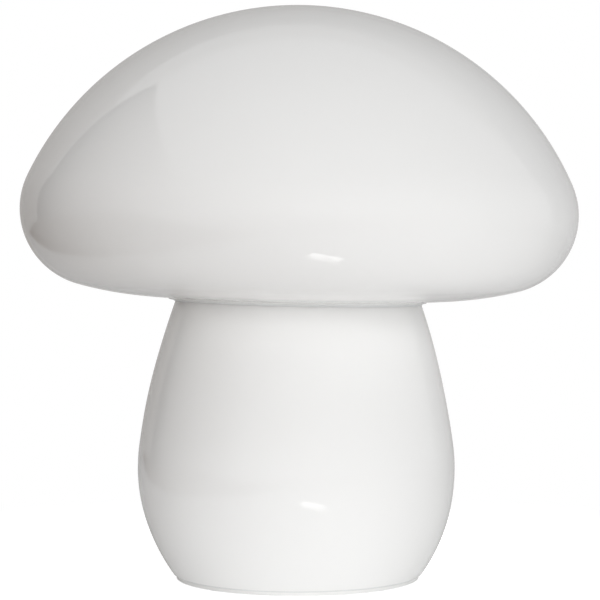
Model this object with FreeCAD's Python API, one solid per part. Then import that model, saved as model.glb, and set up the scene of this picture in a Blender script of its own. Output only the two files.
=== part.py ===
"""Mushroom table lamp: a blown opal glass shade that stands loose on a blown opal glass stem.

The stem is clamped between a base plate and a neck pan by one threaded tube. The tube carries
the screw lampholder and holds the two internal leads. All sizes are millimetres. The origin is
the middle of the lamp on the table, +Z is up and +Y is the back, where the cable comes in.
"""

import FreeCAD, Part
import math
import os

from FreeCAD import Vector

# ---------------------------------------------------------------- driving dimensions

# Shade glass
shade_diameter = 280.0
shade_height = 148.4            # from the lowest point of the rim to the crown
shade_edge_radius = 38.8        # roundness of the widest part, in section
shade_underside_fall = 5.8      # how far the rim hangs below the roundness of the edge
shade_wall = 3.2
rim_height = 140.5              # lowest point of the rim above the table

# Stem glass
stem_diameter = 160.0
stem_belly_height = 56.3        # height of the widest part above the table
stem_belly_radius = 91.4        # roundness of the belly above its widest part, in section
stem_flank_radius = 363.7       # slow curve from the belly up to the neck, in section
neck_diameter = 122.6           # outside, level with the middle of the shade's rim
foot_diameter = 125.7001        # outside, where the glass stands on its gasket
neck_rise = 9.5                 # how far the neck stands above the rim's lowest point
stem_wall = 3.6
polished_edge = 1.2             # rounding of the ground ends of the stem

# Gaps that the fits share
thread_gap = 0.05               # all round a screwed or pressed fit
drop_in_gap = 0.1               # all round a piece that drops into its place
loose_gap = 0.3                 # between pieces that part or turn on each other

# Silicone seat between the neck and the shade
seat_thickness = 0.9
seat_upstand = 4.6
seat_lip = 0.9
seat_wrap = 55.0                # degrees that the seat's hollow goes under the rim's roundness

# Base plate, pads and gaskets
pad_thickness = 0.8
pad_diameter = 10.0
pad_count = 4
plate_gauge = 1.6
plate_inset = 1.5               # the plate's edge inside the foot of the glass
pad_inset = 3.0                 # from the plate's edge to a pad
dish_margin = 4.0               # flat of the raised middle beyond the terminal block
dish_flare = 4.0
dish_depth = 9.6
gasket_thickness = 0.6
gasket_lip_width = 1.3
gasket_lip_depth = 4.0

# Neck pan
pan_gauge = 1.0
pan_depth = 39.0
pan_floor_diameter = 68.0
pan_mouth_inset = 5.0           # from the inside of the neck to the pan's wall at its mouth
pan_vent_diameter = 12.0
pan_vent_count = 8

# Threaded tube with its nuts and washers, M10 x 1
tube_diameter = 10.0
tube_bore = 8.0
tube_below_nut = 1.6
nut_across_flats = 14.0
nut_height = 4.0
washer_diameter = 19.0
washer_thickness = 1.2
lock_washer_diameter = 16.5
lock_washer_thickness = 0.8
lock_washer_teeth = 10
lock_washer_tooth = 1.5
slot_margin = 0.5               # from a lead to the edge of the tube's slot

# Screw lampholder for an E27 cap
holder_height = 56.0
holder_neck_diameter = 15.0
holder_neck_height = 6.0
holder_dome_rise = 4.0
holder_cap_height = 22.0
holder_wall = 2.0
holder_sleeve_wall = 3.65
holder_thread_step = 1.5        # the cap's thread inside the outside of the sleeve
holder_thread_length = 5.6
holder_room = 2.0               # between the screw shell and the sleeve
tube_engagement = 6.5
insert_thickness = 8.0
insert_ledge = 1.0
insert_rim = 1.6
shell_clearance = 0.35          # round the crests of the bulb's thread
shell_gauge = 0.4
shell_length = 24.0
shell_foot = 3.0
contact_gauge = 0.5
contact_width = 4.0
contact_lift = 3.0
contact_tail = 1.2
terminal_spacing = 12.0
terminal_length = 5.5
terminal_width = 5.0
terminal_depth = 6.0
terminal_screw_diameter = 2.5
terminal_screw_head = 3.8
terminal_screw_head_height = 1.6
rivet_diameter = 2.4
rivet_head_diameter = 3.8
rivet_head_height = 0.8
grub_screw_diameter = 3.0
screwdriver_slot = 0.5
screwdriver_slot_depth = 0.8

# LED bulb with an E27 cap
bulb_diameter = 60.0
bulb_length = 105.0
bulb_cap_length = 22.0
bulb_thread_diameter = 26.2
bulb_thread_depth = 1.0
bulb_thread_pitch = 3.629
bulb_thread_turns = 5
bulb_tip_diameter = 9.6
bulb_tip_height = 1.6
bulb_insulator_height = 3.4
bulb_collar_height = 38.0
bulb_collar_wall = 2.0
bulb_envelope_wall = 1.4
bulb_cap_gauge = 0.4
bulb_cap_lead_in = 1.0
bulb_cap_foot = 2.2             # brass foot round the insulator, past the tip
bulb_spigot = 6.0
led_board_thickness = 1.6
led_board_depth = 1.0           # its top face below the top of the collar
led_count = 10
led_length = 3.5
led_width = 2.8
led_height = 0.8
driver_width = 16.0
driver_thickness = 1.2
driver_in_cap = 8.0
capacitor_diameter = 8.0
capacitor_height = 12.0

# Two-pole terminal block and the internal leads
block_length = 14.0
block_width = 19.0
block_height = 13.0
block_pole_spacing = 10.0
block_face_at = 23.0            # distance of its front face behind the lamp's axis
block_sleeve_diameter = 4.0
block_sleeve_bore = 2.6
block_sleeve_inset = 1.0
block_corner = 1.5
block_screw_diameter = 3.0
block_screw_spacing = 7.0
block_screw_head = 5.4
block_screw_head_height = 1.8
block_nut_across_flats = 5.5
block_nut_height = 2.4
lead_diameter = 2.0
lead_core_diameter = 1.2
lead_spacing_in_tube = 3.2
lead_bend_low = 10.0            # middle radius of the bends at the foot of the tube
lead_bend_high = 6.0            # middle radius of the bends in the lampholder
lead_straight = 0.6             # straight end of a lead before its terminal

# Cable inlet in the back of the stem
inlet_height = 15.0
inlet_bore = 6.4
inlet_hole = 10.0
inlet_flange_diameter = 15.0
inlet_flange = 1.5

# ---------------------------------------------------------------- levels, from the table up

plate_bottom = pad_thickness
foot_level = plate_bottom + plate_gauge + gasket_thickness
dish_underside = plate_bottom + dish_depth
dish_top = dish_underside + plate_gauge
lower_nut_bottom = dish_underside - washer_thickness - nut_height
tube_bottom = lower_nut_bottom - tube_below_nut
neck_top = rim_height + neck_rise
pan_flange_bottom = neck_top + gasket_thickness
pan_floor_bottom = pan_flange_bottom - pan_depth
pan_floor_top = pan_floor_bottom + pan_gauge
upper_nut_bottom = pan_floor_top + washer_thickness
lock_washer_bottom = upper_nut_bottom + nut_height
holder_bottom = lock_washer_bottom + lock_washer_thickness
tube_top = holder_bottom + tube_engagement
insert_bottom = holder_bottom + holder_cap_height - insert_rim
insert_top = insert_bottom + insert_thickness
terminal_bottom = insert_bottom - terminal_length
holder_top = holder_bottom + holder_height
bulb_bottom = insert_top + contact_lift + contact_gauge + loose_gap
bulb_cap_bottom = bulb_bottom + bulb_tip_height + bulb_insulator_height
bulb_cap_top = bulb_cap_bottom + bulb_cap_length
bulb_collar_top = bulb_cap_top + bulb_collar_height
led_board_top = bulb_collar_top - led_board_depth
led_board_bottom = led_board_top - led_board_thickness
block_top = dish_top + block_height
block_middle = block_face_at + block_length / 2
pole_level = dish_top + block_height / 2

# ---------------------------------------------------------------- radii, from the inside out

shell_radius = bulb_thread_diameter / 2 + shell_clearance
sleeve_bore_radius = shell_radius + shell_gauge + holder_room
holder_radius = sleeve_bore_radius + holder_sleeve_wall
holder_thread_radius = holder_radius - holder_thread_step
holder_cavity_radius = holder_thread_radius - holder_wall
insert_radius = holder_cavity_radius + insert_ledge
dish_radius = math.hypot(block_face_at + block_length, block_width / 2) + dish_margin

UP = Vector(0, 0, 1)
ACROSS = Vector(1, 0, 0)


# ---------------------------------------------------------------- drawing helpers

def at(radius, height):
    """A point of a section, drawn in the plane of X and Z."""
    return Vector(radius, 0, height)


def line(start, end):
    return Part.LineSegment(start, end).toShape()


def on_circle(centre, radius, angle):
    return centre + at(radius * math.cos(angle), radius * math.sin(angle))


def arc(centre, radius, start, end):
    """An arc of a section, from one angle to another, in radians from the +X side."""
    middle = (start + end) / 2
    points = [on_circle(centre, radius, angle) for angle in (start, middle, end)]
    return Part.Arc(*points).toShape()


def bowed(start, end, rise):
    """A shallow arc between two points of a section, bulging away from the axis by rise."""
    middle = (start + end) / 2 + at(rise, 0)
    return Part.Arc(start, middle, end).toShape()


def rounded(points, bends):
    """Edges through a path's points, each inner corner bent to its own radius."""
    edges = []
    here = points[0]
    for before, corner, after, bend in zip(points, points[1:], points[2:], bends):
        back = (before - corner).normalize()
        onward = (after - corner).normalize()
        half_angle = back.getAngle(onward) / 2
        if bend > 0:
            reach = bend / math.tan(half_angle)
            to_centre = (back + onward).normalize()
            start = corner + back * reach
            end = corner + onward * reach
            middle = corner + to_centre * (bend / math.sin(half_angle) - bend)
            if (start - here).Length > 1e-6:
                edges.append(line(here, start))
            edges.append(Part.Arc(start, middle, end).toShape())
            here = end
        else:
            edges.append(line(here, corner))
            here = corner
    edges.append(line(here, points[-1]))
    return edges


def polygon(points, bends=None):
    """Edges of a closed outline. The first and last corners stay sharp."""
    closed = points + [points[0]]
    return rounded(closed, (bends or []) + [0] * (len(points) - 1 - len(bends or [])))


def offset_path(points, gauge):
    """The path one gauge to the left of a path drawn in the plane of X and Z."""
    def left(start, end):
        along = (end - start).normalize()
        return at(-along.z, along.x)

    shifted = [points[0] + left(points[0], points[1]) * gauge]
    for before, corner, after in zip(points, points[1:], points[2:]):
        first = left(before, corner)
        second = left(corner, after)
        mitre = (first + second).normalize()
        shifted.append(corner + mitre * (gauge / mitre.dot(first)))
    shifted.append(points[-1] + left(points[-2], points[-1]) * gauge)
    return shifted


def sheet_section(points, bends, gauge):
    """Closed edges of a bent sheet: the given face and the face one gauge to its left."""
    far = offset_path(points, gauge)
    far_bends = []
    for before, corner, after, bend in zip(points, points[1:], points[2:], bends):
        turn = (corner - before).cross(after - corner).y
        far_bends.append(bend + gauge if turn > 0 else max(bend - gauge, 0))
    near_edges = rounded(points, bends)
    far_edges = rounded(far, far_bends)
    return near_edges + [line(points[-1], far[-1])] + far_edges + [line(far[0], points[0])]


def face(edges):
    return Part.Face(Part.Wire(Part.__sortEdges__(edges)))


def outward(solid):
    """The same solid with its faces pointing outwards."""
    if solid.Volume < 0:
        solid.reverse()
    return solid


def turned(edges):
    """A solid of revolution about the lamp's axis."""
    return outward(face(edges).revolve(Vector(), UP, 360))


def extruded(edges, depth):
    """A section given an even depth along Y, centred on the plane of X and Z."""
    solid = face(edges).extrude(Vector(0, depth, 0))
    solid.translate(Vector(0, -depth / 2, 0))
    return outward(solid)


def cylinder(diameter, bottom, top, x=0.0, y=0.0):
    return Part.makeCylinder(diameter / 2, top - bottom, Vector(x, y, bottom))


def ring(bore, diameter, bottom, top):
    return cylinder(diameter, bottom, top).cut(cylinder(bore, bottom, top))


def block(low, high):
    size = high - low
    return Part.makeBox(size.x, size.y, size.z, low)


def hexagon(across_flats, bottom, top):
    """A hexagonal bar with its corners chamfered at both ends."""
    corner_radius = across_flats / math.sqrt(3)
    corners = [Vector(corner_radius * math.cos(math.radians(60 * i)),
                      corner_radius * math.sin(math.radians(60 * i)), bottom) for i in range(6)]
    bar = Part.Face(Part.makePolygon(corners + corners[:1])).extrude(UP * (top - bottom))
    chamfer = (corner_radius - across_flats / 2) * 0.6
    blank = turned(polygon([at(0, bottom), at(across_flats / 2, bottom),
                            at(corner_radius, bottom + chamfer), at(corner_radius, top - chamfer),
                            at(across_flats / 2, top), at(0, top)]))
    return bar.common(blank)


def around(shape, count, first=0.0):
    """Copies of a shape, evenly spaced about the lamp's axis."""
    copies = []
    for index in range(count):
        copy = shape.copy()
        copy.rotate(Vector(), UP, first + 360.0 * index / count)
        copies.append(copy)
    return copies


def mirrored(shape):
    """The shape and its twin on the other side of the plane of Y and Z."""
    return [shape, shape.mirror(Vector(), Vector(1, 0, 0))]


def circles_meet(first, first_radius, second, second_radius):
    """Where two circles of a section meet, on the right of the way from first to second."""
    way = second - first
    along = (first_radius ** 2 - second_radius ** 2 + way.Length ** 2) / (2 * way.Length)
    aside = math.sqrt(first_radius ** 2 - along ** 2)
    way.normalize()
    return first + way * along + at(way.z, -way.x) * aside


# ---------------------------------------------------------------- glass profiles

class ShadeCurve:
    """Outside of the shade in section: a crown arc, an edge arc and an underside arc."""

    def __init__(self):
        edge_reach = shade_diameter / 2 - shade_edge_radius
        edge_rise = shade_edge_radius + shade_underside_fall
        self.edge = at(edge_reach, rim_height + edge_rise)
        # The crown's centre is on the axis, where its arc meets the edge arc smoothly.
        spare = shade_height - shade_edge_radius
        crown_rise = (spare ** 2 - edge_reach ** 2 - edge_rise ** 2) / (2 * (spare - edge_rise))
        self.crown = at(0, rim_height + crown_rise)
        self.crown_radius = shade_height - crown_rise
        # The underside is level at the rim and meets the edge arc smoothly.
        self.rim_radius = rim_bore_radius + shade_wall / 2
        run = edge_reach - self.rim_radius
        self.underside_radius = (run ** 2 + edge_rise ** 2 - shade_edge_radius ** 2) / (
            2 * (edge_rise - shade_edge_radius))
        self.underside = at(self.rim_radius, rim_height + self.underside_radius)
        from_crown = self.edge - self.crown
        from_underside = self.edge - self.underside
        self.upper_angle = math.atan2(from_crown.z, from_crown.x)
        self.lower_angle = math.atan2(from_underside.z, from_underside.x)

    def arcs(self, inset):
        """The three arcs, moved in by inset from the outside of the glass."""
        return [
            arc(self.crown, self.crown_radius - inset, math.pi / 2, self.upper_angle),
            arc(self.edge, shade_edge_radius - inset, self.upper_angle, self.lower_angle),
            arc(self.underside, self.underside_radius - inset, self.lower_angle, -math.pi / 2),
        ]


class StemCurve:
    """Outside of the stem in section: a foot arc, a belly arc and a flank arc."""

    def __init__(self):
        # The foot's arc starts at the foot and is upright where the stem is widest.
        bulge = (stem_diameter - foot_diameter) / 2
        drop = stem_belly_height - foot_level
        self.foot_radius = (bulge ** 2 + drop ** 2) / (2 * bulge)
        self.foot = at(stem_diameter / 2 - self.foot_radius, stem_belly_height)
        self.belly = at(stem_diameter / 2 - stem_belly_radius, stem_belly_height)
        neck = at(neck_diameter / 2, rim_height + shade_wall / 2)
        self.flank = circles_meet(neck, stem_flank_radius,
                                  self.belly, stem_flank_radius - stem_belly_radius)
        towards_belly = self.belly - self.flank
        self.join_angle = math.atan2(towards_belly.z, towards_belly.x)

    def radius_at(self, height, inset=0.0):
        """Radius of the glass at a height, moved in by inset from its outside."""
        join_height = on_circle(self.flank, stem_flank_radius, self.join_angle).z
        if height > join_height:
            centre, radius = self.flank, stem_flank_radius - inset
        elif height > stem_belly_height:
            centre, radius = self.belly, stem_belly_radius - inset
        else:
            centre, radius = self.foot, self.foot_radius - inset
        return centre.x + math.sqrt(radius ** 2 - (height - centre.z) ** 2)

    def flank_arc(self, bottom, top, inset):
        radius = stem_flank_radius - inset
        angles = [math.asin((height - self.flank.z) / radius) for height in (bottom, top)]
        return arc(self.flank, radius, *angles)

    def arcs(self, bottom, top, inset):
        """The three arcs between two heights, moved in by inset from the outside."""
        foot_radius = self.foot_radius - inset
        flank_radius = stem_flank_radius - inset
        start = math.asin((bottom - self.foot.z) / foot_radius)
        end = math.asin((top - self.flank.z) / flank_radius)
        return [arc(self.foot, foot_radius, start, 0),
                arc(self.belly, stem_belly_radius - inset, 0, self.join_angle),
                arc(self.flank, flank_radius, self.join_angle, end)]


stem_curve = StemCurve()
rim_bore_radius = neck_diameter / 2 + seat_thickness + 2 * loose_gap
shade_curve = ShadeCurve()
foot_radius = stem_curve.radius_at(foot_level)
foot_inner_radius = stem_curve.radius_at(foot_level, stem_wall)
neck_inner_radius = stem_curve.radius_at(neck_top, stem_wall)
neck_outer_radius = stem_curve.radius_at(neck_top)
plate_radius = foot_radius - plate_inset

# The inlet is drilled square to the glass.
inlet_angle = math.asin((inlet_height - stem_curve.foot.z) / stem_curve.foot_radius)
inlet_axis = Vector(0, math.cos(inlet_angle), math.sin(inlet_angle))
inlet_outside = Vector(0, stem_curve.radius_at(inlet_height), inlet_height)


# ---------------------------------------------------------------- glass and its seats

def shade_glass():
    rim_centre = at(shade_curve.rim_radius, rim_height + shade_wall / 2)
    rim = arc(rim_centre, shade_wall / 2, -math.pi / 2, -3 * math.pi / 2)
    crown = at(0, rim_height + shade_height)
    axis = line(crown, crown - UP * shade_wall)
    return turned(shade_curve.arcs(0) + [rim] + shade_curve.arcs(shade_wall) + [axis])


def shade_seat_ring():
    """Clear silicone on the neck: the rim hangs in the hollow of its lip."""
    inside = -loose_gap
    bottom = rim_height - seat_lip
    top = rim_height + shade_wall / 2 + seat_upstand
    neck_face = stem_curve.flank_arc(bottom, top, inside)
    neck_bottom = at(stem_curve.radius_at(bottom, inside), bottom)
    neck_top_point = at(stem_curve.radius_at(top, inside), top)
    rim_centre = at(shade_curve.rim_radius, rim_height + shade_wall / 2)
    hollow_radius = shade_wall / 2 + loose_gap
    hollow_end = math.pi + math.radians(seat_wrap)
    hollow = arc(rim_centre, hollow_radius, math.pi, hollow_end)
    hollow_top = on_circle(rim_centre, hollow_radius, math.pi)
    lip_edge = on_circle(rim_centre, hollow_radius, hollow_end)
    shoulder = at(hollow_top.x, top - seat_thickness)
    return turned([neck_face, hollow, line(neck_top_point, shoulder), line(shoulder, hollow_top),
                   line(lip_edge, neck_bottom)])


def stem_blank():
    outer = stem_curve.arcs(foot_level, neck_top, 0)
    inner = stem_curve.arcs(foot_level, neck_top, stem_wall)
    foot = line(at(foot_inner_radius, foot_level), at(foot_radius, foot_level))
    mouth = line(at(neck_inner_radius, neck_top), at(neck_outer_radius, neck_top))
    blank = turned(outer + inner + [foot, mouth])
    ends = [edge for edge in blank.Edges
            if edge.BoundBox.ZLength < 1e-6
            and min(abs(edge.BoundBox.ZMin - level) for level in (foot_level, neck_top)) < 1e-6]
    return blank.makeFillet(polished_edge, ends)


def stem_glass():
    drill_start = inlet_outside - inlet_axis * 3 * stem_wall
    return stem_blank().cut(Part.makeCylinder(inlet_hole / 2, 4 * stem_wall, drill_start, inlet_axis))


def cable_grommet():
    """Rubber bush that lines the drilled hole, with a flange on each side of the glass."""
    start = inlet_outside - inlet_axis * (stem_wall + inlet_flange)
    length = stem_wall + 2 * inlet_flange
    body = Part.makeCylinder(inlet_flange_diameter / 2, length, start, inlet_axis)
    fitted = body.cut(stem_blank())
    core = Part.makeCylinder(inlet_hole / 2 - thread_gap, length, start, inlet_axis)
    bore = Part.makeCylinder(inlet_bore / 2, 2 * length, start - inlet_axis * length / 2, inlet_axis)
    return fitted.fuse(core).cut(bore).removeSplitter()


# ---------------------------------------------------------------- base plate and neck pan

def foot_pads():
    circle = plate_radius - pad_inset - pad_diameter / 2
    return Part.Compound(around(cylinder(pad_diameter, 0, pad_thickness, circle), pad_count, 45))


def base_plate():
    tube_hole = tube_diameter / 2 + drop_in_gap
    path = [at(tube_hole, dish_underside), at(dish_radius, dish_underside),
            at(dish_radius + dish_flare, plate_bottom), at(plate_radius, plate_bottom)]
    plate = turned(sheet_section(path, [plate_gauge, 2 * plate_gauge], plate_gauge))
    return plate.cut(cylinder(block_screw_diameter + 2 * drop_in_gap, dish_underside, dish_top,
                              0, block_middle))


def foot_gasket():
    """Clear silicone under the glass, with a lip that centres its foot."""
    lip = foot_inner_radius - drop_in_gap
    bottom = foot_level - gasket_thickness
    return turned(polygon([at(lip - gasket_lip_width, bottom), at(plate_radius, bottom),
                           at(plate_radius, foot_level), at(lip, foot_level),
                           at(lip, foot_level + gasket_lip_depth),
                           at(lip - gasket_lip_width, foot_level + gasket_lip_depth)]))


def neck_gasket():
    """Clear silicone on the mouth of the stem, with a lip down inside it."""
    lip = neck_inner_radius - drop_in_gap
    top = neck_top + gasket_thickness
    return turned(polygon([at(lip - gasket_lip_width, top), at(neck_outer_radius, top),
                           at(neck_outer_radius, neck_top), at(lip, neck_top),
                           at(lip, neck_top - gasket_lip_depth),
                           at(lip - gasket_lip_width, neck_top - gasket_lip_depth)]))


def neck_pan():
    """Pressed pan that hangs in the neck, with holes that let air and light into the stem."""
    tube_hole = tube_diameter / 2 + drop_in_gap
    mouth = neck_inner_radius - pan_mouth_inset
    path = [at(tube_hole, pan_floor_bottom), at(pan_floor_diameter / 2, pan_floor_bottom),
            at(mouth, pan_flange_bottom), at(neck_outer_radius, pan_flange_bottom)]
    pan = turned(sheet_section(path, [4 * pan_gauge, 2 * pan_gauge], pan_gauge))
    middle = (path[1] + path[2]) / 2
    slope = (path[2] - path[1]).normalize()
    through = at(slope.z, -slope.x)
    reach = 4 * pan_gauge
    vent = Part.makeCylinder(pan_vent_diameter / 2, 2 * reach, middle - through * reach, through)
    return pan.cut(around(vent, pan_vent_count, 180.0 / pan_vent_count))


# ---------------------------------------------------------------- tube, nuts and washers

def conduit_tube():
    """Threaded tube with a side slot low down, where the leads go in."""
    tube = ring(tube_bore, tube_diameter, tube_bottom, tube_top)
    half_width = (lead_spacing_in_tube + lead_diameter) / 2 + slot_margin
    slot = block(Vector(-half_width, 0, pole_level - lead_diameter / 2),
                 Vector(half_width, tube_diameter, pole_level + lead_bend_low / 2))
    return tube.cut(slot)


def hex_nut(across_flats, bore, bottom, top, y=0.0):
    nut = hexagon(across_flats, bottom, top).cut(cylinder(bore, bottom, top))
    nut.translate(Vector(0, y, 0))
    return nut


def tube_nuts():
    bore = tube_diameter + 2 * thread_gap
    return Part.Compound([hex_nut(nut_across_flats, bore, bottom, bottom + nut_height)
                          for bottom in (lower_nut_bottom, upper_nut_bottom)])


def tube_washers():
    bore = tube_diameter + 2 * drop_in_gap
    return Part.Compound([ring(bore, washer_diameter, bottom, bottom + washer_thickness)
                          for bottom in (dish_underside - washer_thickness, pan_floor_top)])


def lock_washer():
    """Toothed washer that stops the lampholder from turning on the tube."""
    top = lock_washer_bottom + lock_washer_thickness
    washer = ring(tube_diameter + 2 * drop_in_gap, lock_washer_diameter, lock_washer_bottom, top)
    outer = lock_washer_diameter / 2
    notch_width = math.pi * lock_washer_diameter / lock_washer_teeth / 2
    notch = block(Vector(outer - lock_washer_tooth, -notch_width / 2, lock_washer_bottom),
                  Vector(outer + lock_washer_tooth, notch_width / 2, top))
    return washer.cut(around(notch, lock_washer_teeth))


# ---------------------------------------------------------------- lampholder

def holder_cap():
    """Lower half of the lampholder, screwed on the tube, with a ledge for the insert."""
    neck = holder_neck_diameter / 2
    neck_end = holder_bottom + holder_neck_height
    dome_level = neck_end + holder_dome_rise
    top = holder_bottom + holder_cap_height
    joint_level = top - holder_thread_length
    floor = neck_end + holder_wall
    outside = [at(0, holder_bottom), at(neck, holder_bottom), at(neck, neck_end),
               at(holder_radius, dome_level), at(holder_radius, joint_level),
               at(holder_thread_radius, joint_level), at(holder_thread_radius, top), at(0, top)]
    inside = [at(0, floor), at(neck, floor),
              at(holder_cavity_radius, dome_level + holder_wall),
              at(holder_cavity_radius, top), at(0, top)]
    cap = turned(polygon(outside, [0.8, 3.0, 5.0])).cut(turned(polygon(inside, [2.0, 3.0])))
    tube_hole = cylinder(tube_diameter + 2 * thread_gap, holder_bottom, top)
    insert_seat = cylinder(2 * (insert_radius + drop_in_gap), insert_bottom, top)
    screw_hole = Part.makeCylinder(grub_screw_diameter / 2 + thread_gap, holder_neck_diameter,
                                   grub_screw_start, ACROSS)
    return cap.cut([tube_hole, insert_seat, screw_hole])


grub_screw_start = Vector(tube_diameter / 2, 0, holder_bottom + holder_neck_height / 2)


def side_screw(start, length, diameter, head_diameter=0.0, head_height=0.0):
    """A screw along +X from its point, slotted for a screwdriver, with or without a head."""
    screw = Part.makeCylinder(diameter / 2, length, start, ACROSS)
    end = start + ACROSS * (length + head_height)
    if head_diameter:
        head = Part.makeCylinder(head_diameter / 2, head_height, start + ACROSS * length, ACROSS)
        screw = screw.fuse(head)
    width = max(diameter, head_diameter)
    slot = block(end - Vector(screwdriver_slot_depth, width, screwdriver_slot / 2),
                 end + Vector(screwdriver_slot_depth, width, screwdriver_slot / 2))
    return screw.cut(slot)


def grub_screw():
    """Headless screw that locks the lampholder on the tube."""
    length = (holder_neck_diameter - tube_diameter) / 2
    return side_screw(grub_screw_start, length, grub_screw_diameter)


def holder_sleeve():
    """Upper half of the lampholder, screwed over the cap, which it clamps to the insert."""
    thread = holder_thread_radius + drop_in_gap
    ledge = holder_bottom + holder_cap_height
    joint = ledge - holder_thread_length
    mouth = shell_radius + shell_gauge + 2 * loose_gap
    lip_level = holder_top - holder_wall
    section = [at(thread, joint), at(holder_radius, joint), at(holder_radius, holder_top),
               at(mouth, holder_top), at(mouth, lip_level), at(sleeve_bore_radius, lip_level),
               at(sleeve_bore_radius, ledge), at(thread, ledge)]
    return turned(polygon(section, [0.4, 1.2, 0.6]))


def rivet_hole(bottom, top, side=1):
    return cylinder(rivet_diameter + 2 * thread_gap, bottom, top, side * terminal_spacing / 2)


def holder_insert():
    """Ceramic disc that carries the contacts, with a hole for each rivet."""
    shoulder = shell_radius + shell_gauge
    rim_top = insert_bottom + insert_rim
    disc = turned(polygon([at(0, insert_bottom), at(insert_radius, insert_bottom),
                           at(insert_radius, rim_top), at(sleeve_bore_radius - drop_in_gap, rim_top),
                           at(shoulder, insert_top), at(0, insert_top)]))
    return disc.cut(mirrored(rivet_hole(insert_bottom, insert_top)))


def holder_shell():
    """Brass screw shell with a foot that is riveted to the right-hand terminal."""
    outer = shell_radius + shell_gauge
    foot = shell_radius - shell_foot
    foot_top = insert_top + shell_gauge
    top = insert_top + shell_length
    shell = turned(polygon([at(foot, insert_top), at(outer, insert_top), at(outer, top),
                            at(shell_radius, top), at(shell_radius, foot_top), at(foot, foot_top)]))
    tab = block(Vector((terminal_spacing - contact_width) / 2, -contact_width / 2, insert_top),
                Vector((foot + shell_radius) / 2, contact_width / 2, foot_top))
    return shell.fuse(tab).cut(rivet_hole(insert_top, foot_top)).removeSplitter()


def centre_contact():
    """Springy bronze strip from the left-hand rivet up to the bulb's tip."""
    rivet = -terminal_spacing / 2
    half = contact_width / 2
    top = insert_top + contact_lift
    path = [at(rivet - half, insert_top), at(rivet + half, insert_top), at(-half, top),
            at(half, top), at(half + contact_tail, top - contact_tail)]
    strip = extruded(sheet_section(path, [contact_gauge] * 3, contact_gauge), contact_width)
    return strip.cut(rivet_hole(insert_top, insert_top + contact_gauge, -1))


def holder_terminals():
    """Brass posts under the insert: a lead goes in from below, a screw from the side."""
    middle = terminal_spacing / 2
    post = block(Vector(middle - terminal_width / 2, -terminal_depth / 2, terminal_bottom),
                 Vector(middle + terminal_width / 2, terminal_depth / 2, insert_bottom))
    core_hole = cylinder(lead_core_diameter + 2 * thread_gap, terminal_bottom, core_end, middle)
    screw_hole = Part.makeCylinder(terminal_screw_diameter / 2 + thread_gap, terminal_width,
                                   Vector(middle, 0, terminal_screw_start().z), ACROSS)
    return Part.Compound(mirrored(post.cut([core_hole, screw_hole])))


core_end = insert_bottom - 1.0


def terminal_screw_start():
    """Where the right-hand clamp screw's point meets the lead's core."""
    return Vector(terminal_spacing / 2 + lead_core_diameter / 2 + thread_gap, 0,
                  (terminal_bottom + insert_bottom) / 2)


def terminal_screws():
    length = (terminal_width - lead_core_diameter) / 2 - thread_gap
    screw = side_screw(terminal_screw_start(), length, terminal_screw_diameter,
                       terminal_screw_head, terminal_screw_head_height)
    return Part.Compound(mirrored(screw))


def contact_rivets():
    """Two brass rivets that hold the contacts down on the insert."""
    rivets = []
    for side, sheet in ((-1, contact_gauge), (1, shell_gauge)):
        top = insert_top + sheet
        x = side * terminal_spacing / 2
        head_top = top + rivet_head_height
        head = cylinder(rivet_head_diameter, top, head_top, x)
        crown = [edge for edge in head.Edges if edge.BoundBox.ZMin > head_top - 1e-6]
        head = head.makeFillet(rivet_head_height * 0.6, crown)
        rivets.append(cylinder(rivet_diameter, insert_bottom, top, x).fuse(head).removeSplitter())
    return Part.Compound(rivets)


# ---------------------------------------------------------------- bulb

def bulb_tip():
    radius = bulb_tip_diameter / 2
    top = bulb_bottom + bulb_tip_height
    return turned(polygon([at(0, bulb_bottom), at(radius, bulb_bottom), at(radius, top), at(0, top)],
                          [1.2]))


def bulb_insulator():
    bottom = bulb_bottom + bulb_tip_height
    top = bulb_cap_bottom - loose_gap
    tip = bulb_tip_diameter / 2 + thread_gap
    outer = bulb_thread_diameter / 2 - bulb_thread_depth - bulb_cap_gauge
    return turned(polygon([at(0, bottom), at(tip, bottom), at(outer, top), at(0, top)]))


def thread_edges(radius, bottom):
    """Rolled thread in section: one crest and one root to a pitch, upwards from bottom."""
    half = bulb_thread_pitch / 2
    edges = []
    for index in range(2 * bulb_thread_turns):
        start = at(radius, bottom + index * half)
        bulge = bulb_thread_depth / 2 * (1 if index % 2 == 0 else -1)
        edges.append(bowed(start, start + UP * half, bulge))
    return edges


def bulb_cap():
    """Rolled screw cap. Its thread is drawn as rings, which have no lead."""
    crest = bulb_thread_diameter / 2
    middle = crest - bulb_thread_depth / 2
    inner = middle - bulb_cap_gauge
    foot = bulb_tip_diameter / 2 + bulb_cap_foot
    foot_top = bulb_cap_bottom + bulb_cap_gauge
    thread_bottom = bulb_cap_bottom + bulb_cap_lead_in
    thread_top = thread_bottom + bulb_thread_turns * bulb_thread_pitch
    outside = thread_edges(middle, thread_bottom) + rounded(
        [at(middle, thread_top), at(crest, thread_top), at(crest, bulb_cap_top),
         at(inner, bulb_cap_top), at(inner, thread_top)], [0, 0, 0])
    inside = thread_edges(inner, thread_bottom) + rounded(
        [at(inner, thread_bottom), at(inner, foot_top), at(foot, foot_top),
         at(foot, bulb_cap_bottom), at(middle, bulb_cap_bottom), at(middle, thread_bottom)], [0] * 4)
    return turned(outside + inside)


# The globe's centre is this far above the top of the collar.
globe_rise = bulb_bottom + bulb_length - bulb_diameter / 2 - bulb_collar_top
collar_top_radius = math.sqrt((bulb_diameter / 2) ** 2 - globe_rise ** 2)


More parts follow.
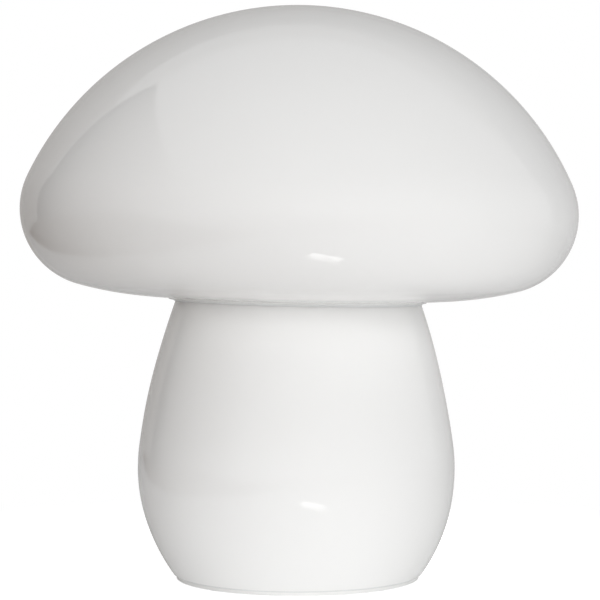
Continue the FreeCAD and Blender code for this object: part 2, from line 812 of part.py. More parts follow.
def bulb_collar():
    """Moulded housing between the cap and the globe, with a spigot in the cap."""
    bottom = bulb_thread_diameter / 2 + drop_in_gap + bulb_collar_wall / 3
    top = collar_top_radius
    spigot = bulb_thread_diameter / 2 - 1.5 * bulb_thread_depth - bulb_cap_gauge
    inner = spigot - bulb_collar_wall / 2
    spigot_end = bulb_cap_top - bulb_spigot
    flare_start = bulb_cap_top + 2 * bulb_collar_wall
    flare_end = bulb_collar_top - 3 * bulb_collar_wall
    outside = [at(bottom, bulb_cap_top), at(bottom, flare_start), at(top, flare_end),
               at(top, bulb_collar_top)]
    inside = [at(top - bulb_collar_wall, bulb_collar_top), at(top - bulb_collar_wall, flare_end),
              at(inner, flare_start + bulb_collar_wall / 2), at(inner, spigot_end)]
    foot = [inside[-1], at(spigot, spigot_end), at(spigot, bulb_cap_top), outside[0]]
    return turned(rounded(outside, [8.0, 12.0]) + [line(outside[-1], inside[0])]
                  + rounded(inside, [10.0, 8.0]) + rounded(foot, [0, 0]))


def bulb_envelope():
    centre = at(0, bulb_collar_top + globe_rise)
    outer = bulb_diameter / 2
    inner = outer - bulb_envelope_wall
    outer_start = -math.asin(globe_rise / outer)
    inner_start = -math.asin(globe_rise / inner)
    return turned([arc(centre, outer, outer_start, math.pi / 2),
                   arc(centre, inner, inner_start, math.pi / 2),
                   line(on_circle(centre, inner, inner_start), on_circle(centre, outer, outer_start)),
                   line(centre + UP * inner, centre + UP * outer)])


def led_board():
    radius = collar_top_radius - bulb_collar_wall - drop_in_gap
    return cylinder(2 * radius, led_board_bottom, led_board_top)


def led_chips():
    circle = 0.62 * collar_top_radius
    chip = block(Vector(circle - led_length / 2, -led_width / 2, led_board_top),
                 Vector(circle + led_length / 2, led_width / 2, led_board_top + led_height))
    return Part.Compound(around(chip, led_count))


def led_driver():
    """Small upright circuit board under the LED board, with its storage capacitor."""
    board = block(Vector(-driver_width / 2, -driver_thickness / 2, bulb_cap_top - driver_in_cap),
                  Vector(driver_width / 2, driver_thickness / 2, led_board_bottom))
    capacitor = cylinder(capacitor_diameter, bulb_cap_top + driver_in_cap,
                         bulb_cap_top + driver_in_cap + capacitor_height, 0, capacitor_diameter / 2)
    return board.fuse(capacitor)


# ---------------------------------------------------------------- terminal block and leads

def at_each_pole(shape):
    """The right-hand front shape of the block at both poles and both ends."""
    rear = shape.copy()
    rear.translate(Vector(0, block_screw_spacing, 0))
    return mirrored(shape) + mirrored(rear)


def pole_screw(diameter, bottom, top):
    return cylinder(diameter, bottom, top, block_pole_spacing / 2,
                    block_middle - block_screw_spacing / 2)


def block_screws():
    """Clamp screws, sunk in the block, two to a pole."""
    top = block_top - block_sleeve_inset
    screw = pole_screw(block_screw_diameter, pole_level + lead_core_diameter / 2 + thread_gap, top)
    centre = Vector(block_pole_spacing / 2, block_middle - block_screw_spacing / 2, top)
    slot = block(centre - Vector(block_screw_diameter, screwdriver_slot / 2, screwdriver_slot_depth),
                 centre + Vector(block_screw_diameter, screwdriver_slot / 2, screwdriver_slot_depth))
    return Part.Compound(at_each_pole(screw.cut(slot)))


def screw_holes():
    return at_each_pole(pole_screw(block_screw_diameter + 2 * thread_gap, pole_level, block_top))


def along_pole(diameter, side, inset):
    """A cylinder along one pole of the block, short of both faces by inset."""
    start = Vector(side * block_pole_spacing / 2, block_face_at + inset, pole_level)
    return Part.makeCylinder(diameter / 2, block_length - 2 * inset, start, Vector(0, 1, 0))


def terminal_block():
    body = block(Vector(-block_width / 2, block_face_at, dish_top),
                 Vector(block_width / 2, block_face_at + block_length, block_top))
    upright = [edge for edge in body.Edges if edge.BoundBox.ZLength > block_height / 2]
    body = body.makeFillet(block_corner, upright)
    bores = [along_pole(block_sleeve_diameter + 2 * thread_gap, side, 0) for side in (-1, 1)]
    fixing = cylinder(block_screw_diameter + 2 * drop_in_gap, dish_top, block_top, 0, block_middle)
    return body.cut(bores + screw_holes() + [fixing])


def block_sleeves():
    """Brass sleeve of each pole, sunk in the block at both ends."""
    sleeves = []
    for side in (-1, 1):
        sleeve = along_pole(block_sleeve_diameter, side, block_sleeve_inset)
        sleeves.append(sleeve.cut([along_pole(block_sleeve_bore, side, 0)] + screw_holes()))
    return Part.Compound(sleeves)


def block_fixing_screw():
    head_top = block_top + block_screw_head_height
    end = dish_underside - block_nut_height - 1.0
    head = cylinder(block_screw_head, block_top, head_top, 0, block_middle)
    crown = [edge for edge in head.Edges if edge.BoundBox.ZMin > head_top - 1e-6]
    head = head.makeFillet(block_screw_head_height / 2, crown)
    centre = Vector(0, block_middle, head_top)
    slot = block(centre - Vector(block_screw_head, screwdriver_slot / 2, screwdriver_slot_depth),
                 centre + Vector(block_screw_head, screwdriver_slot / 2, screwdriver_slot_depth))
    shank = cylinder(block_screw_diameter, end, block_top, 0, block_middle)
    return shank.fuse(head).cut(slot).removeSplitter()


def block_fixing_nut():
    return hex_nut(block_nut_across_flats, block_screw_diameter + 2 * thread_gap,
                   dish_underside - block_nut_height, dish_underside, block_middle)


def swept(points, bends, diameter):
    """A round bar along straight runs joined by tangent arcs."""
    spine = Part.Wire(rounded(points, bends))
    direction = (points[1] - points[0]).normalize()
    outline = Part.Wire(Part.makeCircle(diameter / 2, points[0], direction))
    return outward(spine.makePipeShell([outline], True, True))


def sidestep(aside, bend):
    """Angle and reach of the two equal bends that move a lead aside by that much."""
    angle = math.acos(1 - aside / (2 * bend))
    reach = bend * math.tan(angle / 2)
    return 2 * reach * math.cos(angle), reach


def lead(side):
    """One insulated lead from the block, through the tube's slot, up to its terminal."""
    pole_x = side * block_pole_spacing / 2
    tube_x = side * lead_spacing_in_tube / 2
    terminal_x = side * terminal_spacing / 2
    low_run, low_reach = sidestep(abs(pole_x - tube_x), lead_bend_low)
    high_run, high_reach = sidestep(abs(terminal_x - tube_x), lead_bend_high)
    start_y = block_face_at + lead_straight
    end_z = terminal_bottom - drop_in_gap
    inner_y = lead_bend_low + low_reach + drop_in_gap
    upper_z = end_z - high_reach - lead_straight
    route = [Vector(pole_x, start_y, pole_level), Vector(pole_x, inner_y + low_run, pole_level),
             Vector(tube_x, inner_y, pole_level), Vector(tube_x, 0, pole_level),
             Vector(tube_x, 0, upper_z - high_run), Vector(terminal_x, 0, upper_z),
             Vector(terminal_x, 0, end_z)]
    bends = [lead_bend_low] * 3 + [lead_bend_high] * 2
    jacket = swept(route, bends, lead_diameter)
    length = Part.Wire(rounded(route, bends)).Length
    section = math.pi * lead_diameter ** 2 / 4
    print("lead bends", bends, "length", round(length, 1),
          "volume against section times length", round(jacket.Volume / (section * length), 5))
    lower_core = Part.makeCylinder(lead_core_diameter / 2, block_length - 2 * lead_straight - 1.0,
                                   route[0], Vector(0, 1, 0))
    upper_core = cylinder(lead_core_diameter, end_z, core_end, terminal_x)
    return jacket.fuse([lower_core, upper_core]).removeSplitter()


# ---------------------------------------------------------------- all nodes

nodes = {
    "shade_glass": shade_glass(),
    "shade_seat_ring": shade_seat_ring(),
    "stem_glass": stem_glass(),
    "cable_grommet": cable_grommet(),
    "foot_pads": foot_pads(),
    "base_plate": base_plate(),
    "foot_gasket": foot_gasket(),
    "neck_gasket": neck_gasket(),
    "neck_pan": neck_pan(),
    "conduit_tube": conduit_tube(),
    "tube_nuts": tube_nuts(),
    "tube_washers": tube_washers(),
    "lock_washer": lock_washer(),
    "holder_cap": holder_cap(),
    "holder_sleeve": holder_sleeve(),
    "holder_insert": holder_insert(),
    "holder_shell": holder_shell(),
    "centre_contact": centre_contact(),
    "holder_terminals": holder_terminals(),
    "terminal_screws": terminal_screws(),
    "contact_rivets": contact_rivets(),
    "grub_screw": grub_screw(),
    "bulb_tip": bulb_tip(),
    "bulb_insulator": bulb_insulator(),
    "bulb_cap": bulb_cap(),
    "bulb_collar": bulb_collar(),
    "bulb_envelope": bulb_envelope(),
    "led_board": led_board(),
    "led_chips": led_chips(),
    "led_driver": led_driver(),
    "terminal_block": terminal_block(),
    "block_sleeves": block_sleeves(),
    "block_screws": block_screws(),
    "block_fixing_screw": block_fixing_screw(),
    "block_fixing_nut": block_fixing_nut(),
    "lead_live": lead(1),
    "lead_neutral": lead(-1),
}

os.makedirs("parts", exist_ok=True)
for name, shape in nodes.items():
    shape.exportStep(f"parts/{name}.step")
    print(f"{name}: {len(shape.Solids)} solids, {shape.Volume / 1000:.3f} cm3, "
          f"valid {shape.isValid()}, z {shape.BoundBox.ZMin:.2f} to {shape.BoundBox.ZMax:.2f}")

print("cable inlet at", tuple(round(value, 4) for value in inlet_outside),
      "axis", tuple(round(value, 6) for value in inlet_axis))
print("shade clears the bulb after a lift of", round(bulb_bottom + bulb_length - rim_height, 1))
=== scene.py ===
"""Looks of a mushroom table lamp in blown opal glass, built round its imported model.

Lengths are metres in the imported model's frame: +Z is up, the lamp's axis goes through the origin
and the camera stands on the -Y side. Angles are radians.
"""

import logging
import math
from dataclasses import dataclass, field
from enum import Enum
from typing import Any, Optional, Sequence, Union

import bmesh
import bpy
from mathutils import Matrix, Vector


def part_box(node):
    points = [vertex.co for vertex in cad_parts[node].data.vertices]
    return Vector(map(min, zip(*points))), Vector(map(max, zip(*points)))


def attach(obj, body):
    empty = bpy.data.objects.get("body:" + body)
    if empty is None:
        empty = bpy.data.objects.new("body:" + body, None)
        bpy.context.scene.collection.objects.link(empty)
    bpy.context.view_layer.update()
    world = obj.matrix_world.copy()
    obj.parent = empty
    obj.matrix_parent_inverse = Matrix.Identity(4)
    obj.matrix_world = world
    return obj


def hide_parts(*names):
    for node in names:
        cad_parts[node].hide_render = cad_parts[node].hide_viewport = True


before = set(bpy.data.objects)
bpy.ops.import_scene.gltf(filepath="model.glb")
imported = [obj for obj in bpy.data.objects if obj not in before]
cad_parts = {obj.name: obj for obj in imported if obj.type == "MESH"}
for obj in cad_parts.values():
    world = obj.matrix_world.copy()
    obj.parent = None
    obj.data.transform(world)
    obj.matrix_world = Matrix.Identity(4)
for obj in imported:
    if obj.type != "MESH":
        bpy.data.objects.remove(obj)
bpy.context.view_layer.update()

MM = 0.001
SAME_PLACE = 1e-7
FEWEST_STEPS = 6
TURN = 2 * math.pi

log = logging.getLogger("mushroom_lamp")

Colour = tuple[float, float, float]
Point = tuple[float, float]
Spot = tuple[float, float, float]


# ------------------------------------------------------------------ node graphs

class Field:
    """An output socket on which Python's arithmetic adds Math nodes."""

    def __init__(self, graph: "Graph", socket: bpy.types.NodeSocket) -> None:
        """Wrap a socket of a graph.

        Args:
            graph: The graph that the socket belongs to.
            socket: The output socket.
        """
        self.graph = graph
        self.socket = socket

    def _math(self, operation: str, *values: "Value") -> "Field":
        """A Math node's result.

        Args:
            operation: The Math node's operation.
            values: Its inputs, in order.

        Returns:
            The node's output.
        """
        return self.graph.field("ShaderNodeMath", {"operation": operation}, dict(enumerate(values)))

    def __add__(self, other: "Value") -> "Field":
        """Self plus other."""
        return self._math("ADD", self, other)

    def __radd__(self, other: "Value") -> "Field":
        """Other plus self."""
        return self._math("ADD", other, self)

    def __sub__(self, other: "Value") -> "Field":
        """Self minus other."""
        return self._math("SUBTRACT", self, other)

    def __rsub__(self, other: "Value") -> "Field":
        """Other minus self."""
        return self._math("SUBTRACT", other, self)

    def __mul__(self, other: "Value") -> "Field":
        """Self times other."""
        return self._math("MULTIPLY", self, other)

    def __rmul__(self, other: "Value") -> "Field":
        """Other times self."""
        return self._math("MULTIPLY", other, self)

    def __truediv__(self, other: "Value") -> "Field":
        """Self over other."""
        return self._math("DIVIDE", self, other)

    def __rtruediv__(self, other: "Value") -> "Field":
        """Other over self."""
        return self._math("DIVIDE", other, self)

    def floor(self) -> "Field":
        """The whole number below self."""
        return self._math("FLOOR", self)

    def sine(self) -> "Field":
        """The sine of self."""
        return self._math("SINE", self)

    def cosine(self) -> "Field":
        """The cosine of self."""
        return self._math("COSINE", self)

    def larger(self, other: "Value") -> "Field":
        """The larger of self and other."""
        return self._math("MAXIMUM", self, other)

    def ease(self, low: "Value", high: "Value") -> "Field":
        """A smooth rise from 0 to 1 as self goes from low to high.

        Args:
            low: Where the rise starts.
            high: Where it ends.

        Returns:
            The eased value.
        """
        return self.graph.field("ShaderNodeMapRange", {"interpolation_type": "SMOOTHSTEP"},
                                {"Value": self, "From Min": low, "From Max": high})


Value = Union[Field, float, int]


class Graph:
    """A node tree and the one method that adds nodes to it."""

    def __init__(self, tree: bpy.types.NodeTree) -> None:
        """Work on a tree, from which the nodes that it came with are removed.

        Args:
            tree: A shader, world or geometry tree.
        """
        self.tree = tree
        tree.nodes.clear()

    def node(self, kind: str, settings: Optional[dict[str, Any]] = None,
             inputs: Optional[dict[Any, Any]] = None) -> bpy.types.Node:
        """Add a node.

        Args:
            kind: The node's type.
            settings: Its properties, set first.
            inputs: Values or links of its sockets, by name or number.

        Returns:
            The node.
        """
        made = self.tree.nodes.new(kind)
        for name, value in (settings or {}).items():
            setattr(made, name, value)
        for key, value in (inputs or {}).items():
            if isinstance(value, Field):
                self.tree.links.new(value.socket, made.inputs[key])
            else:
                made.inputs[key].default_value = value
        return made

    def field(self, kind: str, settings: Optional[dict[str, Any]] = None,
              inputs: Optional[dict[Any, Any]] = None, output: Union[int, str] = 0) -> Field:
        """Add a node and take one of its outputs.

        Args:
            kind: The node's type.
            settings: Its properties.
            inputs: Values or links of its sockets.
            output: The output's name or number.

        Returns:
            The output.
        """
        return Field(self, self.node(kind, settings, inputs).outputs[output])

    def mix(self, factor: Value, low: Any, high: Any) -> Field:
        """Blend two colours.

        Args:
            factor: 0 gives low and 1 gives high.
            low: A colour or a field.
            high: A colour or a field.

        Returns:
            The blended colour.
        """
        ends = [end if isinstance(end, Field) else (*end, 1.0) for end in (low, high)]
        return self.field("ShaderNodeMix", {"data_type": "RGBA"},
                          {0: factor, 6: ends[0], 7: ends[1]}, output=2)

    def scaled(self, place: Field, factors: Sequence[float]) -> Field:
        """A place with its axes stretched, for a pattern that runs one way."""
        return self.field("ShaderNodeVectorMath", {"operation": "MULTIPLY"},
                          {0: place, 1: tuple(factors)})

    def noise(self, place: Field, size: float, detail: float = 2.0) -> Field:
        """Soft noise from 0 to 1.

        Args:
            place: Where it is read.
            size: The size of its blobs, in metres.
            detail: How many finer layers it has.

        Returns:
            The noise.
        """
        return self.field("ShaderNodeTexNoise", None,
                          {"Vector": place, "Scale": 1 / size, "Detail": detail})

    def cells(self, place: Field, size: float) -> Field:
        """The distance to the nearest of scattered points, in cells of a size."""
        return self.field("ShaderNodeTexVoronoi", None, {"Vector": place, "Scale": 1 / size})


# ------------------------------------------------------------------ finishes

@dataclass
class Look:
    """What changes over a surface: its colour, its roughness and the height of its relief."""

    colour: Field
    roughness: Field
    height: Field
    depth: float


@dataclass(frozen=True)
class Finish:
    """A finish with a soft mottle and a fine grain. Each kind varies in its own way."""

    label: str
    colour: Colour
    roughness: float
    mottle: float = 0.03
    mottle_size: float = 0.012
    grain_size: float = 0.0006
    grain_depth: float = 0.00002
    metallic: float = 0.0
    coat: float = 0.0
    coat_roughness: float = 0.03
    ior: float = 1.5
    roughness_swing: float = 0.12

    def look(self, graph: Graph, place: Field) -> Look:
        """Say how the finish varies over the surface.

        Args:
            graph: The material's graph.
            place: Object coordinates.

        Returns:
            The varying values.
        """
        cloud = graph.noise(place, self.mottle_size)
        grain = graph.noise(place, self.grain_size, detail=3.0)
        return Look(graph.mix(cloud, self.shade(-self.mottle), self.shade(self.mottle)),
                    self.roughness + (grain - 0.5) * self.roughness_swing, grain,
                    self.grain_depth)

    def shade(self, amount: float) -> Colour:
        """The colour made lighter or darker by a share of itself."""
        return tuple(min(1.0, channel * (1 + amount)) for channel in self.colour)

    def material(self) -> bpy.types.Material:
        """Build the material, or take the one that is already built.

        Returns:
            The material.
        """
        if self.label in bpy.data.materials:
            return bpy.data.materials[self.label]
        made = bpy.data.materials.new(self.label)
        made.use_nodes = True
        graph = Graph(made.node_tree)
        look = self.look(graph, graph.field("ShaderNodeTexCoord", output="Object"))
        relief = graph.field("ShaderNodeBump", None,
                             {"Height": look.height, "Distance": look.depth})
        shader = graph.field("ShaderNodeBsdfPrincipled", None, {
            "Base Color": look.colour, "Roughness": look.roughness, "Metallic": self.metallic,
            "IOR": self.ior, "Coat Weight": self.coat, "Coat Roughness": self.coat_roughness,
            "Normal": relief})
        graph.node("ShaderNodeOutputMaterial", None, {"Surface": shader})
        made.diffuse_color = (*self.colour, 1.0)
        return made


@dataclass(frozen=True)
class OpalGlass(Finish):
    """Mouth-blown white glass: faint clouds and drawn-out streaks, a rippled fire-polished skin."""

    streak_size: float = 0.05
    ripple_size: float = 0.075
    ripple_depth: float = 0.0007
    smudge_size: float = 0.03
    smudge: float = 0.05
    smudge_edge: Point = (0.48, 0.72)
    drawn_out: Spot = (1.0, 1.0, 0.35)

    def look(self, graph: Graph, place: Field) -> Look:
        """Vary the glass. Args and Returns are those of Finish.look."""
        drawn = graph.scaled(place, self.drawn_out)
        streaks = graph.noise(drawn, self.streak_size, detail=4.0)
        ripple = graph.noise(place, self.ripple_size, detail=1.0)
        smudge = graph.noise(place, self.smudge_size, detail=3.0).ease(*self.smudge_edge)
        return Look(graph.mix(streaks, self.shade(-self.mottle), self.shade(self.mottle)),
                    self.roughness + smudge * self.smudge, ripple, self.ripple_depth)


@dataclass(frozen=True)
class PowderCoat(Finish):
    """Powder-coated sheet with the skin of an orange peel."""

    peel_size: float = 0.0011
    peel_depth: float = 0.00005
    cell_share: float = 0.6
    roughness_swing: float = 0.08

    def look(self, graph: Graph, place: Field) -> Look:
        """Vary the coat. Args and Returns are those of Finish.look."""
        cells = graph.cells(place, self.peel_size) * self.cell_share
        peel = cells + graph.noise(place, self.peel_size) * (1 - self.cell_share)
        cloud = graph.noise(place, self.mottle_size)
        return Look(graph.mix(cloud, self.shade(-self.mottle), self.shade(self.mottle)),
                    self.roughness + (cloud - 0.5) * self.roughness_swing, peel, self.peel_depth)


@dataclass(frozen=True)
class TurnedMetal(Finish):
    """Plated or turned metal with fine tool marks round the lamp's axis and dulled patches."""

    mark_pitch: float = 0.00035
    tarnish: Colour = (0.5, 0.45, 0.4)
    tarnish_share: float = 0.25
    mark_stretch: Spot = (0.06, 0.06, 1.0)
    patch_edge: Point = (0.45, 0.75)
    dulling: float = 0.15
    roughness_swing: float = 0.1

    def look(self, graph: Graph, place: Field) -> Look:
        """Vary the metal. Args and Returns are those of Finish.look."""
        marks = graph.noise(graph.scaled(place, self.mark_stretch), self.mark_pitch)
        dull = graph.noise(place, self.mottle_size, detail=4.0).ease(*self.patch_edge)
        roughness = self.roughness + dull * self.dulling + (marks - 0.5) * self.roughness_swing
        return Look(graph.mix(dull * self.tarnish_share, self.colour, self.tarnish), roughness,
                    marks, self.grain_depth)


@dataclass(frozen=True)
class Ceramic(Finish):
    """Pressed and glazed ceramic with iron specks under the glaze."""

    speck: Colour = (0.42, 0.33, 0.24)
    speck_size: float = 0.0016
    speck_edge: Point = (0.05, 0.14)
    speck_share: float = 0.5
    roughness_swing: float = 0.08

    def look(self, graph: Graph, place: Field) -> Look:
        """Vary the glaze. Args and Returns are those of Finish.look."""
        specks = 1 - graph.cells(place, self.speck_size).ease(*self.speck_edge)
        glaze = graph.noise(place, self.mottle_size, detail=3.0)
        body = graph.mix(glaze, self.shade(-self.mottle), self.shade(self.mottle))
        return Look(graph.mix(specks * self.speck_share, body, self.speck),
                    self.roughness + glaze * self.roughness_swing, glaze, self.grain_depth)


@dataclass(frozen=True)
class CircuitBoard(Finish):
    """Board under solder mask, with tracks a little raised and paler, and tinned pads."""

    track: Colour = (0.2, 0.5, 0.3)
    pad: Colour = (0.75, 0.75, 0.72)
    track_size: float = 0.003
    track_width: float = 0.08
    track_softness: float = 0.3
    pad_edge: Point = (0.12, 0.16)
    pad_polish: float = 0.1

    def look(self, graph: Graph, place: Field) -> Look:
        """Vary the board. Args and Returns are those of Finish.look."""
        tracks = graph.field("ShaderNodeTexBrick", None, {
            "Vector": place, "Scale": 1 / self.track_size, "Mortar Size": self.track_width,
            "Mortar Smooth": self.track_softness}, "Fac")
        pads = 1 - graph.cells(place, self.track_size).ease(*self.pad_edge)
        mask = graph.mix(tracks, self.colour, self.track)
        return Look(graph.mix(pads, mask, self.pad), self.roughness - pads * self.pad_polish,
                    tracks, self.grain_depth)


class Slot(Enum):
    """The record's material slots, each with the finish that it gets here."""

    OPAL_GLASS = OpalGlass("opal_glass", (0.858, 0.856, 0.868), 0.035, mottle=0.012, coat=0.6)
    CLEAR_SILICONE = Finish("clear_silicone", (0.7, 0.71, 0.71), 0.38, 0.02, 0.006, ior=1.41)
    WHITE_STEEL = PowderCoat("white_steel", (0.91, 0.91, 0.91), 0.32, mottle=0.01, coat=0.15)
    ZINC_STEEL = TurnedMetal("zinc_steel", (0.66, 0.67, 0.69), 0.28, metallic=1.0,
                             mottle_size=0.006, tarnish=(0.5, 0.52, 0.56))
    BRASS = TurnedMetal("brass", (0.78, 0.62, 0.32), 0.24, metallic=1.0, mottle_size=0.004,
                        tarnish=(0.45, 0.3, 0.14))
    NICKEL_SHELL = TurnedMetal("nickel_shell", (0.76, 0.74, 0.7), 0.2, metallic=1.0,
                               mottle_size=0.007, tarnish=(0.55, 0.48, 0.36))
    BRONZE_SPRING = TurnedMetal("bronze_spring", (0.7, 0.48, 0.26), 0.3, metallic=1.0,
                                mottle_size=0.003, tarnish=(0.4, 0.24, 0.13))
    WHITE_PLASTIC = Finish("white_plastic", (0.82, 0.82, 0.8), 0.42, 0.015)
    WHITE_CERAMIC = Ceramic("white_ceramic", (0.82, 0.81, 0.78), 0.12, coat=0.4)
    GROMMET_RUBBER = Finish("grommet_rubber", (0.72, 0.72, 0.71), 0.55, 0.03, 0.004,
                            grain_depth=0.00004)
    BLOCK_NYLON = Finish("block_nylon", (0.78, 0.79, 0.78), 0.4, 0.025, 0.005)
    OPAL_GLOBE = Finish("opal_globe", (0.88, 0.88, 0.86), 0.26, 0.008, 0.02, 0.0012, 0.000008,
                        coat=0.2)
    BULB_INSULATOR = Finish("bulb_insulator", (0.03, 0.03, 0.032), 0.25, 0.1, 0.003)
    LED_BOARD = CircuitBoard("led_board", (0.84, 0.85, 0.85), 0.3, track=(0.78, 0.79, 0.8),
                             pad=(0.7, 0.68, 0.62))
    LED_PHOSPHOR = Finish("led_phosphor", (0.93, 0.72, 0.18), 0.45, 0.06, 0.0008, 0.0002)
    DRIVER_BOARD = CircuitBoard("driver_board", (0.05, 0.22, 0.1), 0.35)
    BROWN_PVC = Finish("brown_pvc", (0.24, 0.1, 0.045), 0.35, 0.06, 0.004)
    BLUE_PVC = Finish("blue_pvc", (0.04, 0.14, 0.5), 0.35, 0.06, 0.004)

    @property
    def label(self) -> str:
        """The slot's name in the record."""
        return self.value.label


# ------------------------------------------------------------------ sections and turned meshes

@dataclass(frozen=True)
class Arc:
    """A round stretch of a section: radius from the axis and height, from one angle to another."""

    centre: Point
    radius: float
    start: float
    end: float

    def points(self, step: float) -> list[Point]:
        """Points along the arc.

        Args:
            step: The longest way from one point to the next.

        Returns:
            The points, ends included.
        """
        count = max(FEWEST_STEPS, math.ceil(abs(self.end - self.start) * self.radius / step))
        angles = [self.start + (self.end - self.start) * i / count for i in range(count + 1)]
        return [(self.centre[0] + self.radius * math.cos(a),
                 self.centre[1] + self.radius * math.sin(a)) for a in angles]

    def inset(self, by: float) -> "Arc":
        """The same stretch moved towards the arc's centre."""
        return Arc(self.centre, self.radius - by, self.start, self.end)

    def back(self) -> "Arc":
        """The same arc gone the other way."""
        return Arc(self.centre, self.radius, self.end, self.start)


def joined(parts: Sequence[Union[Arc, Point]], step: float = 1.6 * MM) -> list[Point]:
    """One line of points through arcs and corners, with no point twice.

    Args:
        parts: Arcs and single points, in order.
        step: The longest way between points of an arc.

    Returns:
        The points.
    """
    line: list[Point] = []
    for part in parts:
        for point in part.points(step) if isinstance(part, Arc) else [part]:
            if not line or math.dist(line[-1], point) > SAME_PLACE:
                line.append(point)
    return line


def placed(name: str, data: Any) -> bpy.types.Object:
    """Put a mesh, a lamp or a camera into the scene.

    Args:
        name: The object's name.
        data: What it shows.

    Returns:
        The object, at the origin.
    """
    made = bpy.data.objects.new(name, data)
    bpy.context.scene.collection.objects.link(made)
    return made


def bake(piece: bpy.types.Object, name: str) -> bpy.types.Object:
    """Turn an object with modifiers into a plain mesh with outward faces, and drop the old one.

    Args:
        piece: The object with its modifiers.
        name: The finished piece's name.

    Returns:
        The finished piece, at the origin.
    """
    bpy.context.view_layer.update()
    graph = bpy.context.evaluated_depsgraph_get()
    mesh = bpy.data.meshes.new_from_object(piece.evaluated_get(graph))
    bpy.data.objects.remove(piece)
    shell = bmesh.new()
    shell.from_mesh(mesh)
    bmesh.ops.remove_doubles(shell, verts=shell.verts, dist=SAME_PLACE)
    bmesh.ops.recalc_face_normals(shell, faces=shell.faces)
    shell.to_mesh(mesh)
    shell.free()
    mesh.shade_smooth()
    mesh.name = name
    return placed(name, mesh)


